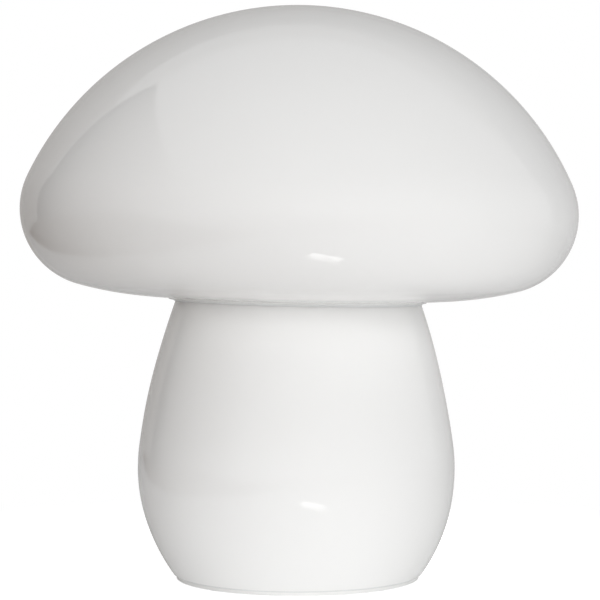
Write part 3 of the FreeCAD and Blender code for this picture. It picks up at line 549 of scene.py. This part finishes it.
class Lathe:
    """A geometry tree that turns a section about the axis, by rule and a little by hand.

    Its named inputs are the section, the number of sides, a lean about a height, an oval, a
    sideways bow between two heights, a soft waviness and a screw thread between two heights.
    """

    NAME = "lathe"
    WELD = 1e-6
    LEVELLING = 0.4
    THREAD_FADE = 0.5
    # What each input takes, or its value at first where it is a number.
    INPUTS: dict[str, Union[str, int, float]] = {
        "Section": "Object", "Sides": 192, "Lean": 0.0, "Lean Height": 0.0, "Oval": 0.0,
        "Bow": 0.0, "Low": 0.0, "High": 1.0, "Wave": 0.0, "Wave Size": 0.09, "Seed": 0.0,
        "Thread Depth": 0.0, "Thread Pitch": 1.0, "Thread Start": 0.0, "Thread End": 1.0,
        "Material": "Material",
    }

    def __init__(self) -> None:
        """Build the tree."""
        self.tree = bpy.data.node_groups.new(self.NAME, "GeometryNodeTree")
        self.keys: dict[str, str] = {}
        face = self.tree.interface
        for name, value in self.INPUTS.items():
            number = not isinstance(value, str)
            kind = type(value).__name__.capitalize() if number else value
            made = face.new_socket(name=name, in_out="INPUT", socket_type=f"NodeSocket{kind}")
            if number:
                made.default_value = value
            self.keys[name] = made.identifier
        face.new_socket(name="Geometry", in_out="OUTPUT", socket_type="NodeSocketGeometry")
        self._fill()

    def _fill(self) -> None:
        """Add the tree's nodes."""
        g = Graph(self.tree)
        entry = g.node("NodeGroupInput")
        given = {name: Field(g, entry.outputs[name]) for name in self.INPUTS}
        section = g.field("GeometryNodeObjectInfo", None, {"Object": given["Section"]}, "Geometry")
        rows = g.field("GeometryNodeAttributeDomainSize", None, {"Geometry": section},
                       "Point Count")
        columns = given["Sides"] + 1
        grid = g.field("GeometryNodeMeshGrid", None,
                       {"Size X": 1.0, "Size Y": 1.0, "Vertices X": rows, "Vertices Y": columns})
        index = g.field("GeometryNodeInputIndex")
        row = ((index + 0.5) / columns).floor()
        column = index - row * columns
        along = g.field("GeometryNodeInputPosition")
        drawn = g.node("GeometryNodeSampleIndex", {"data_type": "FLOAT_VECTOR", "domain": "POINT"},
                       {"Geometry": section, "Value": along, "Index": row})
        point = g.node("ShaderNodeSeparateXYZ", None, {0: Field(g, drawn.outputs[0])})
        radius, height = Field(g, point.outputs[0]), Field(g, point.outputs[2])
        angle = column * TURN / given["Sides"]
        radius = radius + self._thread(given, angle, height)
        middle = self._middle(given, height)
        round_point = self._spot(g, radius, angle, height)
        wave = g.field("ShaderNodeTexNoise", {"noise_dimensions": "4D"},
                       {"Vector": round_point, "W": given["Seed"], "Detail": 1.0,
                        "Scale": 1 / given["Wave Size"]})
        share = 1 + given["Oval"] * middle * (angle * 2).cosine()
        radius = radius * share + (wave - 0.5) * given["Wave"] * middle
        bowed = g.field("ShaderNodeVectorMath", {"operation": "ADD"},
                        {0: self._spot(g, radius, angle, height),
                         1: g.field("ShaderNodeCombineXYZ", None, {0: given["Bow"] * middle})})
        pivot = g.field("ShaderNodeCombineXYZ", None, {2: given["Lean Height"]})
        leaning = g.field("ShaderNodeVectorRotate", {"rotation_type": "Y_AXIS"},
                          {"Vector": bowed, "Center": pivot, "Angle": given["Lean"]})
        turned = g.field("GeometryNodeSetPosition", None, {"Geometry": grid, "Position": leaning})
        closed = g.field("GeometryNodeMergeByDistance", None,
                         {"Geometry": turned, "Distance": self.WELD})
        real = g.field("GeometryNodeRealizeInstances", None, {"Geometry": closed})
        dressed = g.field("GeometryNodeSetMaterial", None,
                          {"Geometry": real, "Material": given["Material"]})
        g.node("NodeGroupOutput", None, {"Geometry": dressed})

    @staticmethod
    def _spot(g: Graph, radius: Field, angle: Field, height: Field) -> Field:
        """The point at a radius, angle and height."""
        return g.field("ShaderNodeCombineXYZ", None,
                       {0: radius * angle.cosine(), 1: radius * angle.sine(), 2: height})

    def _middle(self, given: dict[str, Field], height: Field) -> Field:
        """1 between the low and the high level, and 0 at both, where other pieces fit."""
        share = (height - given["Low"]) / (given["High"] - given["Low"])
        return share.ease(0.0, self.LEVELLING) * (1 - share.ease(1 - self.LEVELLING, 1.0))

    def _thread(self, given: dict[str, Field], angle: Field, height: Field) -> Field:
        """A rolled right-hand thread that fades in and out over half a turn at its ends."""
        climb = (height - given["Thread Start"]) / given["Thread Pitch"]
        wave = (climb * TURN - angle).sine()
        left = (given["Thread End"] - height) / given["Thread Pitch"]
        fade = climb.ease(0.0, self.THREAD_FADE) * left.ease(0.0, self.THREAD_FADE)
        return wave * fade * given["Thread Depth"] / 2

    def turn(self, name: str, section: Sequence[Point], slot: Slot,
             **values: float) -> bpy.types.Object:
        """Turn a section into a finished mesh.

        Args:
            name: The piece's name.
            section: Its points, as radius and height. It is closed, or both ends are on the axis.
            slot: The material slot.
            values: The tree's other inputs, with _ for each space.

        Returns:
            The piece.
        """
        drawn = bpy.data.meshes.new("section")
        drawn.from_pydata([(x, 0.0, z) for x, z in section],
                          [(i, i + 1) for i in range(len(section) - 1)], [])
        guide = placed("section", drawn)
        blank = placed("blank", bpy.data.meshes.new("blank"))
        modifier = blank.modifiers.new(self.NAME, "NODES")
        modifier.node_group = self.tree
        chosen = {key.replace("_", " "): value for key, value in values.items()}
        chosen.update({"Section": guide, "Material": slot.value.material()})
        for key, value in chosen.items():
            modifier[self.keys[key]] = value
        made = bake(blank, name)
        bpy.data.objects.remove(guide)
        slot.label
        return made


# ------------------------------------------------------------------ sub-assemblies

@dataclass
class Assembly:
    """A part of the lamp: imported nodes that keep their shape, each with its material slot."""

    kept: dict[str, Slot] = field(default_factory=dict)

    def make(self, lathe: Lathe) -> list[bpy.types.Object]:
        """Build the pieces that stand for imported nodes. The plain kind has none."""
        return []

    def dress(self) -> None:
        """Give each kept node its finish."""
        for node, slot in self.kept.items():
            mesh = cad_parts[node].data
            mesh.materials.clear()
            mesh.materials.append(slot.value.material())
            log.info("%s: packed shape in %s", node, slot.label)

    def build(self, lathe: Lathe) -> None:
        """Build and dress the whole part.

        Args:
            lathe: The tree that turns round pieces.
        """
        for piece in self.make(lathe):
            log.info("%s: %d faces", piece.name, len(piece.data.polygons))
        self.dress()


@dataclass
class GlassShade(Assembly):
    """The domed opal shade: a crown arc, an edge arc and an underside arc, and a beaded rim."""

    diameter: float = 280.0 * MM
    height: float = 148.4 * MM
    edge_radius: float = 38.8 * MM
    underside_fall: float = 5.8 * MM
    wall: float = 3.2 * MM
    rim_height: float = 140.5 * MM
    rim_radius: float = 64.4 * MM
    bead: float = 1.4 * MM
    bead_root: float = 0.5 * MM
    lean: float = 0.0189
    oval: float = 0.0012
    wave: float = 0.3 * MM
    wave_size: float = 110.0 * MM
    seed: float = 3.0
    sides: int = 232

    def shell(self, rim: Point) -> list[Arc]:
        """The outline from the crown to a point where it runs out level.

        Args:
            rim: That point.

        Returns:
            The crown's arc, the edge's arc and the underside's arc.
        """
        reach = self.diameter / 2 - self.edge_radius
        edge_height = self.rim_height + self.edge_radius + self.underside_fall
        top = self.rim_height + self.height
        crown_rise = top - edge_height
        crown = (crown_rise ** 2 + reach ** 2 - self.edge_radius ** 2) / (
            2 * (crown_rise - self.edge_radius))
        run, drop = reach - rim[0], edge_height - rim[1]
        below = (run ** 2 + drop ** 2 - self.edge_radius ** 2) / (2 * (drop - self.edge_radius))
        upper = math.atan2(edge_height - (top - crown), reach)
        lower = math.atan2(edge_height - (rim[1] + below), run)
        return [Arc((0.0, top - crown), crown, math.pi / 2, upper),
                Arc((reach, edge_height), self.edge_radius, upper, lower),
                Arc((rim[0], rim[1] + below), below, lower, -math.pi / 2)]

    def section(self) -> list[Point]:
        """The section of the blown shell.

        Returns:
            Points from the outside of the crown, round the bead of the rim, to the inside.
        """
        half = self.wall / 2
        centre = (self.rim_radius, self.rim_height + half)
        neck = (self.rim_radius + half + self.bead_root, self.rim_height + self.bead)
        root = Arc((neck[0], neck[1] - self.bead_root), self.bead_root, math.pi / 2, math.pi)
        bead = Arc(centre, half, -math.asin((half - self.bead + self.bead_root) / half),
                   -3 * math.pi / 2)
        inside = [part.inset(self.wall).back()
                  for part in reversed(self.shell((self.rim_radius, self.rim_height)))]
        return joined(self.shell(neck) + [root, bead] + inside)

    def make(self, lathe: Lathe) -> list[bpy.types.Object]:
        """Blow the shade. It leans a little on its seat, as the photographed one does."""
        shade = lathe.turn("blown_shade", self.section(), Slot.OPAL_GLASS, Sides=self.sides,
                           Lean=self.lean, Lean_Height=self.rim_height + self.wall / 2,
                           Oval=self.oval, Wave=self.wave, Wave_Size=self.wave_size,
                           Seed=self.seed, Low=self.rim_height,
                           High=self.rim_height + self.height)
        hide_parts("shade_glass")
        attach(shade, "shade")
        return [shade]


@dataclass
class StemShape:
    """The wall of the opal stem: a belly arc and a flank arc between two rounded ends."""

    belly_radius: float = 80.0 * MM
    belly_height: float = 56.3 * MM
    belly_bend: float = 91.4 * MM
    flank_bend: float = 363.7 * MM
    neck_radius: float = 61.3 * MM
    neck_height: float = 142.1 * MM
    foot: float = 3.0 * MM
    top: float = 150.0 * MM
    wall: float = 3.6 * MM
    edge: float = 1.2 * MM

    @property
    def belly_centre(self) -> Point:
        """The centre of the belly's arc."""
        return (self.belly_radius - self.belly_bend, self.belly_height)

    @property
    def flank_centre(self) -> Point:
        """The centre of the flank's arc, which runs on from the belly's and through the neck."""
        belly = self.belly_centre
        across, up = self.neck_radius - belly[0], self.neck_height - belly[1]
        apart = math.hypot(across, up)
        reach = self.flank_bend - self.belly_bend
        along = (reach ** 2 - self.flank_bend ** 2 + apart ** 2) / (2 * apart)
        aside = math.sqrt(reach ** 2 - along ** 2)
        return (belly[0] + (along * across - aside * up) / apart,
                belly[1] + (along * up + aside * across) / apart)

    def face(self, inset: float, middle: float, turn: float) -> list[Arc]:
        """One face of the wall, from the foot to the top, rounded into the ground ends.

        Args:
            inset: How far the face lies inside the outline.
            middle: How far inside the outline the centres of its two rounded ends lie.
            turn: 0 for the outer face, and half a turn for the inner one.

        Returns:
            The rounded foot, the belly's arc, the flank's arc and the rounded top.
        """
        belly, flank = self.belly_centre, self.flank_centre
        join = math.atan2(belly[1] - flank[1], belly[0] - flank[0])
        start = math.asin((self.foot + self.edge - belly[1]) / (self.belly_bend - middle))
        end = math.asin((self.top - self.edge - flank[1]) / (self.flank_bend - middle))

        def rounding(centre: Point, bend: float, way: float, first: float, last: float) -> Arc:
            """A rounded end, at the given way and reach from an arc's centre."""
            reach = bend - middle
            spot = (centre[0] + reach * math.cos(way), centre[1] + reach * math.sin(way))
            return Arc(spot, self.edge, first, last)

        down = 2 * turn - math.pi / 2
        return [rounding(belly, self.belly_bend, start, down, start + turn),
                Arc(belly, self.belly_bend - inset, start, join),
                Arc(flank, self.flank_bend - inset, join, end),
                rounding(flank, self.flank_bend, end, end + turn, math.pi / 2)]

    def radius_at(self, height: float) -> float:
        """The outside radius of the neck at a height."""
        centre = self.flank_centre
        return centre[0] + math.sqrt(self.flank_bend ** 2 - (height - centre[1]) ** 2)


@dataclass
class GlassStem(Assembly):
    """The pear-shaped opal stem, open at both ends, with the drilled cable inlet at the back."""

    shape: StemShape = field(default_factory=StemShape)
    bow: float = -0.7 * MM
    oval: float = 0.0015
    wave: float = 0.25 * MM
    wave_size: float = 80.0 * MM
    seed: float = 11.0
    true_neck: float = 12.0 * MM
    sides: int = 216
    inlet_hole: float = 10.0 * MM
    drill_length: float = 30.0 * MM
    drill_sides: int = 48

    def section(self) -> list[Point]:
        """The closed section of the wall, with polished edges at both ends.

        Returns:
            Points up the outside and down the inside.
        """
        shape = self.shape
        outer = shape.face(0.0, shape.edge, 0.0)
        inner = shape.face(shape.wall, shape.wall - shape.edge, math.pi)
        line = joined(outer + [arc.back() for arc in reversed(inner)])
        return line + line[:1]

    def make(self, lathe: Lathe) -> list[bpy.types.Object]:
        """Blow the stem and drill its inlet."""
        blank = lathe.turn("stem_blank", self.section(), Slot.OPAL_GLASS, Sides=self.sides,
                           Bow=self.bow, Oval=self.oval, Wave=self.wave,
                           Wave_Size=self.wave_size, Seed=self.seed, Low=self.shape.foot,
                           High=self.shape.top - self.true_neck)
        drill = self._drill()
        cut = blank.modifiers.new("inlet", "BOOLEAN")
        cut.object = drill
        cut.operation = "DIFFERENCE"
        cut.solver = "EXACT"
        stem = bake(blank, "blown_stem")
        bpy.data.objects.remove(drill)
        Slot.OPAL_GLASS.label
        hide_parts("stem_glass")
        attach(stem, "stem")
        return [stem]

    def _drill(self) -> bpy.types.Object:
        """A bar the size of the inlet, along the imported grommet's axis.

        Returns:
            The bar.
        """
        low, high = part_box("cable_grommet")
        centre = (low + high) / 2
        slope = math.asin((centre.z - self.shape.belly_height) / self.shape.belly_bend)
        axis = Vector((0.0, math.cos(slope), math.sin(slope)))
        bar = bmesh.new()
        bmesh.ops.create_cone(bar, cap_ends=True, segments=self.drill_sides,
                              radius1=self.inlet_hole / 2, radius2=self.inlet_hole / 2,
                              depth=self.drill_length)
        mesh = bpy.data.meshes.new("drill")
        bar.to_mesh(mesh)
        bar.free()
        mesh.transform(axis.to_track_quat("Z", "Y").to_matrix().to_4x4())
        mesh.transform(Matrix.Translation(centre))
        return placed("drill", mesh)


@dataclass
class SeatRing(Assembly):
    """The clear silicone seat, squeezed to follow the leaning rim and the neck inside it."""

    shade: GlassShade = field(default_factory=GlassShade)
    stem: StemShape = field(default_factory=StemShape)
    gap: float = 0.3 * MM
    lip: float = 0.9 * MM
    upstand: float = 4.6 * MM
    thickness: float = 0.9 * MM
    wrap: float = math.radians(55.0)
    sides: int = 180
    arc_steps: int = 10
    softness: float = 0.18 * MM
    soft_steps: int = 2

    def section(self, drop: float) -> list[Point]:
        """The ring's section where the rim stands a little lower or higher.

        Args:
            drop: How far the rim is moved up there.

        Returns:
            The closed section.
        """
        half = self.shade.wall / 2
        level = self.shade.rim_height + half + drop
        bottom, top = level - half - self.lip, level + self.upstand
        hollow = half + self.gap
        face = [(self.stem.radius_at(z) + self.gap, z)
                for z in (top + (bottom - top) * i / self.arc_steps
                          for i in range(self.arc_steps + 1))]
        around = [(self.shade.rim_radius + hollow * math.cos(math.pi + a),
                   level + hollow * math.sin(math.pi + a))
                  for a in (self.wrap * (1 - i / self.arc_steps)
                            for i in range(self.arc_steps + 1))]
        shoulder = (around[-1][0], top - self.thickness)
        return face + around + [shoulder]

    def make(self, lathe: Lathe) -> list[bpy.types.Object]:
        """Mould the ring."""
        rings = []
        for i in range(self.sides):
            angle = TURN * i / self.sides
            drop = -self.shade.lean * self.shade.rim_radius * math.cos(angle)
            rings.append([(r * math.cos(angle), r * math.sin(angle), z)
                          for r, z in self.section(drop)])
        count = len(rings[0])
        faces = [((i % self.sides) * count + j, (i % self.sides) * count + (j + 1) % count,
                  ((i + 1) % self.sides) * count + (j + 1) % count,
                  ((i + 1) % self.sides) * count + j)
                 for i in range(self.sides) for j in range(count)]
        mesh = bpy.data.meshes.new("seat")
        mesh.from_pydata([point for ring in rings for point in ring], [], faces)
        mesh.materials.append(Slot.CLEAR_SILICONE.value.material())
        blank = placed("seat", mesh)
        bevel = blank.modifiers.new("soft edges", "BEVEL")
        bevel.width = self.softness
        bevel.segments = self.soft_steps
        bevel.limit_method = "ANGLE"
        seat = bake(blank, "seat_ring")
        Slot.CLEAR_SILICONE.label
        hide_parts("shade_seat_ring")
        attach(seat, "shade_seat")
        return [seat]


@dataclass
class Bulb(Assembly):
    """The bulb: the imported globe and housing, and a cap with a real rolled thread."""

    kept: dict[str, Slot] = field(default_factory=lambda: {
        "bulb_tip": Slot.NICKEL_SHELL, "bulb_insulator": Slot.BULB_INSULATOR,
        "bulb_collar": Slot.WHITE_PLASTIC, "bulb_envelope": Slot.OPAL_GLOBE,
        "led_board": Slot.LED_BOARD, "led_chips": Slot.LED_PHOSPHOR,
        "led_driver": Slot.DRIVER_BOARD,
    })
    thread_radius: float = 13.1 * MM
    thread_depth: float = 1.0 * MM
    pitch: float = 3.629 * MM
    turns: int = 5
    gauge: float = 0.4 * MM
    lead_in: float = 1.0 * MM
    foot_radius: float = 7.0 * MM
    sides: int = 72
    step: float = 0.3 * MM

    def make(self, lathe: Lathe) -> list[bpy.types.Object]:
        """Roll the cap."""
        low, high = (corner.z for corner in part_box("bulb_cap"))
        middle = self.thread_radius - self.thread_depth / 2
        inner = middle - self.gauge
        start = low + self.lead_in
        end = start + self.turns * self.pitch
        count = math.ceil((end - start) / self.step)
        levels = [start + (end - start) * i / count for i in range(count + 1)]
        section = [(self.foot_radius, low), (middle - self.gauge, low), (middle, low + self.gauge)]
        section += [(middle, z) for z in levels]
        section += [(self.thread_radius, end + self.gauge), (self.thread_radius, high),
                    (self.thread_radius - self.gauge, high), (inner, end + self.gauge)]
        section += [(inner, z) for z in reversed(levels)]
        section += [(inner, low + self.gauge), (self.foot_radius, low + self.gauge),
                    (self.foot_radius, low)]
        cap = lathe.turn("screw_cap", section, Slot.NICKEL_SHELL, Sides=self.sides,
                         Thread_Depth=self.thread_depth, Thread_Pitch=self.pitch,
                         Thread_Start=start, Thread_End=end)
        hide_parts("bulb_cap")
        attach(cap, "bulb")
        return [cap]


FOOT = Assembly({
    "foot_pads": Slot.CLEAR_SILICONE, "base_plate": Slot.WHITE_STEEL,
    "foot_gasket": Slot.CLEAR_SILICONE, "cable_grommet": Slot.GROMMET_RUBBER,
})
NECK = Assembly({"neck_gasket": Slot.CLEAR_SILICONE, "neck_pan": Slot.WHITE_STEEL})
TUBE = Assembly({
    "conduit_tube": Slot.ZINC_STEEL, "tube_nuts": Slot.ZINC_STEEL, "tube_washers": Slot.ZINC_STEEL,
    "lock_washer": Slot.ZINC_STEEL,
})
LAMPHOLDER = Assembly({
    "holder_cap": Slot.WHITE_PLASTIC, "holder_sleeve": Slot.WHITE_PLASTIC,
    "holder_insert": Slot.WHITE_CERAMIC, "holder_shell": Slot.NICKEL_SHELL,
    "centre_contact": Slot.BRONZE_SPRING, "holder_terminals": Slot.BRASS,
    "terminal_screws": Slot.ZINC_STEEL, "contact_rivets": Slot.BRASS,
    "grub_screw": Slot.ZINC_STEEL,
})
WIRING = Assembly({
    "terminal_block": Slot.BLOCK_NYLON, "block_sleeves": Slot.BRASS,
    "block_screws": Slot.ZINC_STEEL, "block_fixing_screw": Slot.ZINC_STEEL,
    "block_fixing_nut": Slot.ZINC_STEEL, "lead_live": Slot.BROWN_PVC,
    "lead_neutral": Slot.BLUE_PVC,
})


# ------------------------------------------------------------------ studio

@dataclass
class Softbox:
    """A rectangular lamp that points at the object. It gives light but no highlight."""

    name: str
    place: Spot
    power: float
    size: Point = (1.6, 1.3)
    target: Spot = (0.0, 0.0, 0.14)

    def hang(self) -> None:
        """Put up the lamp."""
        data = bpy.data.lights.new(self.name, "AREA")
        data.shape = "RECTANGLE"
        data.size, data.size_y = self.size
        data.energy = self.power
        lamp = placed(self.name, data)
        lamp.location = self.place
        aim = Vector(self.target) - Vector(self.place)
        lamp.rotation_euler = aim.to_track_quat("-Z", "Y").to_euler()
        lamp.visible_glossy = False
        log.info("%s: %.2f W", self.name, self.power)


def upright(start: Point, end: Point, low: float, high: float) -> tuple[Spot, ...]:
    """The corners of a card that stands over the line from start to end."""
    return ((*start, low), (*start, high), (*end, high), (*end, low))


def flat(height: float, *ground: Point) -> tuple[Spot, ...]:
    """The corners of a card that lies level over four places on the floor."""
    return tuple((*place, height) for place in ground)


@dataclass
class Card:
    """A softly lit studio card round the object, out of the camera's sight.

    It can be kept from giving light, or from being mirrored in the glass.
    """

    name: str
    corners: tuple[Spot, ...]
    colour: Colour
    far_colour: Optional[Colour] = None
    lights: bool = True
    mirrored: bool = True

    def stand(self) -> None:
        """Stand up the card. Its colour runs from its first edge to its opposite one."""
        mesh = bpy.data.meshes.new(self.name)
        mesh.from_pydata(list(self.corners), [], [(0, 1, 2, 3)])
        made = bpy.data.materials.new(self.name)
        made.use_nodes = True
        graph = Graph(made.node_tree)
        place = graph.field("ShaderNodeTexCoord", output="Object")
        start = (Vector(self.corners[0]) + Vector(self.corners[1])) / 2
        way = (Vector(self.corners[2]) + Vector(self.corners[3])) / 2 - start
        aside = graph.field("ShaderNodeVectorMath", {"operation": "SUBTRACT"},
                            {0: place, 1: start})
        share = graph.field("ShaderNodeVectorMath", {"operation": "DOT_PRODUCT"},
                            {0: aside, 1: way / way.length_squared}, "Value")
        colour = graph.mix(share, self.colour, self.far_colour or self.colour)
        glow = graph.field("ShaderNodeEmission", None, {"Color": colour})
        graph.node("ShaderNodeOutputMaterial", None, {"Surface": glow})
        mesh.materials.append(made)
        card = placed(self.name, mesh)
        card.visible_camera = False
        card.visible_shadow = False
        card.visible_diffuse = self.lights
        card.visible_glossy = self.mirrored


@dataclass
class Studio:
    """The camera, the white floor and surroundings, the lamps and the cards."""

    camera_distance: float = 1.101
    camera_height: float = 0.1746
    camera_aside: float = 1.2 * MM
    aim_height: float = 0.141
    focal_pixels: float = 2178.0
    picture_pixels: float = 600.0
    sensor: float = 36.0
    near_clip: float = 0.01
    overhead: float = 0.29
    overhead_rise: Point = (0.0, 0.9)
    floor_size: float = 12.0
    floor_colour: Colour = (0.8, 0.8, 0.8)
    floor_lift: float = 0.8
    sheet_glow: Point = (0.095, 0.355)
    sheet_run: Point = (-0.12, 0.25)
    sheet_slant: float = 0.5
    shadow_reach: Point = (0.13, 0.34)
    mirror_reach: Point = (1.2, 2.2)
    softboxes: tuple[Softbox, ...] = (
        Softbox("front", (-0.45, -2.55, 0.37), 22.5),
        Softbox("key", (0.66, -2.47, 0.59), 17.0),
        Softbox("top", (0.0, -1.1, 2.5), 9.0),
        Softbox("right", (2.4, -0.75, 0.9), 8.5),
    )
    cards: tuple[Card, ...] = (
        Card("backdrop", upright((-1.44, 1.2), (2.1, 1.2), 0.0, 1.62),
             (0.38, 0.36, 0.34), (0.66, 0.66, 0.67)),
        Card("upper_fold", upright((-1.44, 1.2), (2.1, 1.2), 1.62, 2.45),
             (0.74, 0.73, 0.72), lights=False),
        Card("dark_side", upright((-1.46, 1.2), (-2.05, -0.9), 0.0, 2.4),
             (0.01, 0.002, 0.0), (0.62, 0.6, 0.59)),
        Card("far_side", upright((-2.05, -0.9), (-2.9, -3.4), 0.0, 2.4),
             (0.62, 0.6, 0.59), (1.0, 1.0, 1.0), lights=False),
        # Painted shadow: a dark sheet on the floor to the left and behind, standing in for the
        # lamp's shadow on the table. The glass mirrors it, and it dims the light from that side.
        Card("dark_table", flat(0.001, (-0.81, 1.2), (-0.09, -0.398), (-1.9, -0.9), (-1.9, 1.2)),
             (0.14, 0.11, 0.09)),
        Card("dark_front", flat(0.001, (-0.09, -0.398), (1.6, -0.6), (1.6, -2.2), (-1.9, -0.9)),
             (0.2, 0.18, 0.17), mirrored=False),
        Card("bright_spot", flat(0.003, (0.02, -0.235), (0.06, -0.195), (0.042, -0.165),
                                 (0.003, -0.205)),
             (5.0, 5.0, 5.0), (2.0, 2.0, 2.0), lights=False),
    )

    def place_camera(self) -> None:
        """Stand the camera where the photograph was taken from."""
        data = bpy.data.cameras.new("camera")
        data.sensor_width = self.sensor
        data.lens = self.focal_pixels / self.picture_pixels * self.sensor
        data.clip_start = self.near_clip
        camera = placed("camera", data)
        camera.location = (self.camera_aside, -self.camera_distance, self.camera_height)
        aim = Vector((0.0, self.camera_distance, self.aim_height - self.camera_height))
        camera.rotation_euler = aim.to_track_quat("-Z", "Y").to_euler()
        bpy.context.scene.camera = camera

    @staticmethod
    def rays(graph: Graph) -> tuple[Field, Field]:
        """Tell rays apart.

        Args:
            graph: A shader's graph.

        Returns:
            1 for a ray from the camera, and 1 for one off or through something glossy.
        """
        path = graph.node("ShaderNodeLightPath")
        camera, glossy, through = (Field(graph, path.outputs[name]) for name in
                                   ("Is Camera Ray", "Is Glossy Ray", "Is Transmission Ray"))
        return camera, glossy.larger(through)

    def surround(self) -> None:
        """Fill the surroundings: white to look at, and giving a little light from overhead."""
        world = bpy.data.worlds.new("studio")
        world.use_nodes = True
        bpy.context.scene.world = world
        graph = Graph(world.node_tree)
        way = graph.field("ShaderNodeTexCoord", output="Generated")
        parts = graph.node("ShaderNodeSeparateXYZ", None, {0: way})
        light = Field(graph, parts.outputs["Z"]).ease(*self.overhead_rise) * self.overhead
        camera, mirrored = self.rays(graph)
        seen = camera.larger(mirrored)
        sky = graph.field("ShaderNodeBackground", None,
                          {"Color": (1.0, 1.0, 1.0, 1.0), "Strength": light + seen * (1 - light)})
        graph.node("ShaderNodeOutputWorld", None, {"Surface": sky})

    def lay_floor(self) -> None:
        """Lay a pale floor that keeps the object's shadow and is white further off."""
        half = self.floor_size / 2
        mesh = bpy.data.meshes.new("floor")
        mesh.from_pydata([(-half, -half, 0), (half, -half, 0), (half, half, 0), (-half, half, 0)],
                         [], [(0, 1, 2, 3)])
        made = bpy.data.materials.new("floor")
        made.use_nodes = True
        graph = Graph(made.node_tree)
        place = graph.field("ShaderNodeTexCoord", output="Object")
        distance = graph.field("ShaderNodeVectorMath", {"operation": "LENGTH"}, {0: place},
                               "Value")
        camera, mirrored = self.rays(graph)
        white = (camera * distance.ease(*self.shadow_reach)).larger(
            mirrored * distance.ease(*self.mirror_reach))
        paint = graph.field("ShaderNodeBsdfDiffuse", None, {"Color": (*self.floor_colour, 1.0)})
        parts = graph.node("ShaderNodeSeparateXYZ", None, {0: place})
        across, away = Field(graph, parts.outputs["X"]), Field(graph, parts.outputs["Y"])
        front = (across * self.sheet_slant - away).ease(*self.sheet_run)
        low, high = self.sheet_glow
        glow_level = low + front * (high - low)
        strength = glow_level + camera * (self.floor_lift - glow_level)
        glow = graph.field("ShaderNodeEmission", None, {"Strength": strength})
        near = graph.field("ShaderNodeAddShader", None, {0: paint, 1: glow})
        bright = graph.field("ShaderNodeEmission", None, {"Strength": 1.0})
        both = graph.field("ShaderNodeMixShader", None, {0: white, 1: near, 2: bright})
        graph.node("ShaderNodeOutputMaterial", None, {"Surface": both})
        mesh.materials.append(made)
        placed("floor", mesh)

    def build(self) -> None:
        """Set up the whole studio."""
        bpy.context.scene.view_settings.view_transform = "Standard"
        self.place_camera()
        self.surround()
        self.lay_floor()
        for softbox in self.softboxes:
            softbox.hang()
        for card in self.cards:
            card.stand()


def main() -> None:
    """Build the studio and the lamp."""
    logging.basicConfig(level=logging.INFO, format="%(name)s: %(message)s")
    Studio().build()
    lathe = Lathe()
    for part in (GlassShade(), GlassStem(), SeatRing(), FOOT, NECK, TUBE, LAMPHOLDER, Bulb(),
                 WIRING):
        part.build(lathe)


if __name__ == "__main__":
    main()
